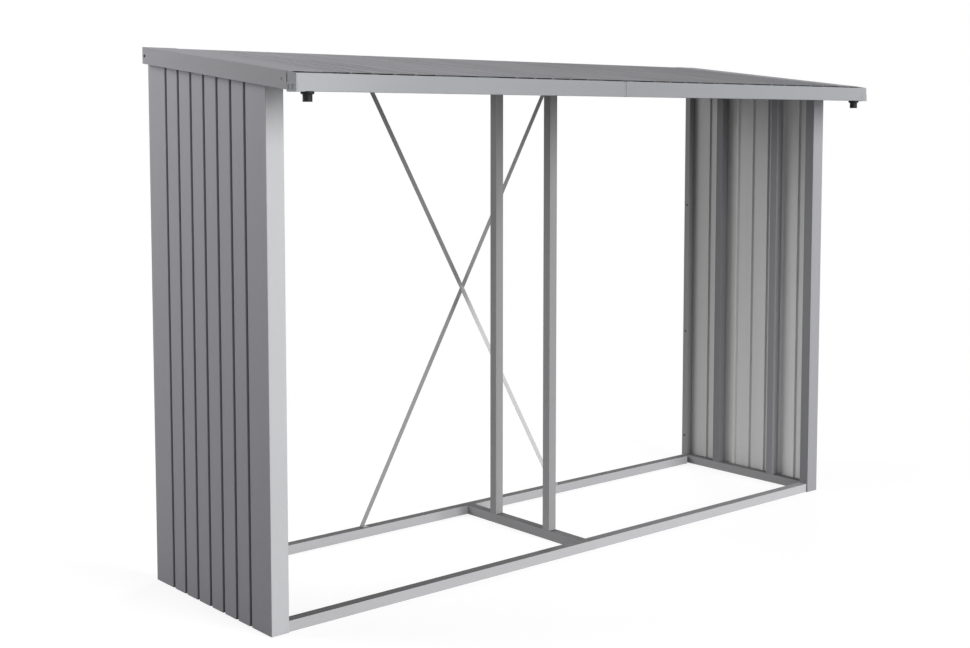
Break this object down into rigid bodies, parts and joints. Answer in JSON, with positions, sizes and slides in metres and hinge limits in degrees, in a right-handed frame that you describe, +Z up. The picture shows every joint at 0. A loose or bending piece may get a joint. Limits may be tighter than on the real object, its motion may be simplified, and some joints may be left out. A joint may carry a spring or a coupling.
{
  "type": "log store",
  "caption": "Open-fronted log store in silver sheet steel with ribbed side walls, a base frame, posts, a pitched ribbed roof, a front gutter with spouts and a rear cross brace.",
  "frame": {"origin": "centre of the store's bounding box in plan, at the ground", "axes": "+X along the length to the right seen from the front, +Y from the gutter to the rear, +Z up"},
  "size_m": [3.02, 1.02, 1.99],
  "materials": {
    "frame": "silver-grey baked paint on folded steel, satin",
    "posts": "silver-grey baked paint on steel section, satin",
    "wall_sheet": "silver-grey baked paint on ribbed sheet steel, satin",
    "roof_sheet": "silver-grey baked paint on ribbed sheet steel, satin",
    "trim": "silver-grey baked paint on folded sheet steel, satin",
    "brace": "silver-grey baked paint on steel strip, satin",
    "spout": "black moulded plastic, matt"
  },
  "bodies": {
    "root": {"front_sill": "frame", "rear_sill": "frame", "left_sill": "frame", "right_sill": "frame", "middle_sill": "frame", "left_front_post": "frame", "right_front_post": "frame", "left_rear_post": "frame", "right_rear_post": "frame", "left_wall_front_stud": "posts", "left_wall_rear_stud": "posts", "right_wall_front_stud": "posts", "right_wall_rear_stud": "posts", "middle_front_post": "posts", "middle_rear_post": "posts", "left_wall": "wall_sheet", "right_wall": "wall_sheet", "front_rail": "frame", "front_purlin": "frame", "rear_purlin": "frame", "rear_rail": "frame", "roof_panel_1": "roof_sheet", "roof_panel_2": "roof_sheet", "roof_panel_3": "roof_sheet", "roof_panel_4": "roof_sheet", "left_verge": "trim", "right_verge": "trim", "rear_fascia": "trim", "gutter_left": "trim", "gutter_right": "trim", "gutter_connector": "trim", "left_gutter_cap": "trim", "right_gutter_cap": "trim", "left_spout": "spout", "right_spout": "spout", "brace_inner": "brace", "brace_outer": "brace"}
  },
  "joints": []
}
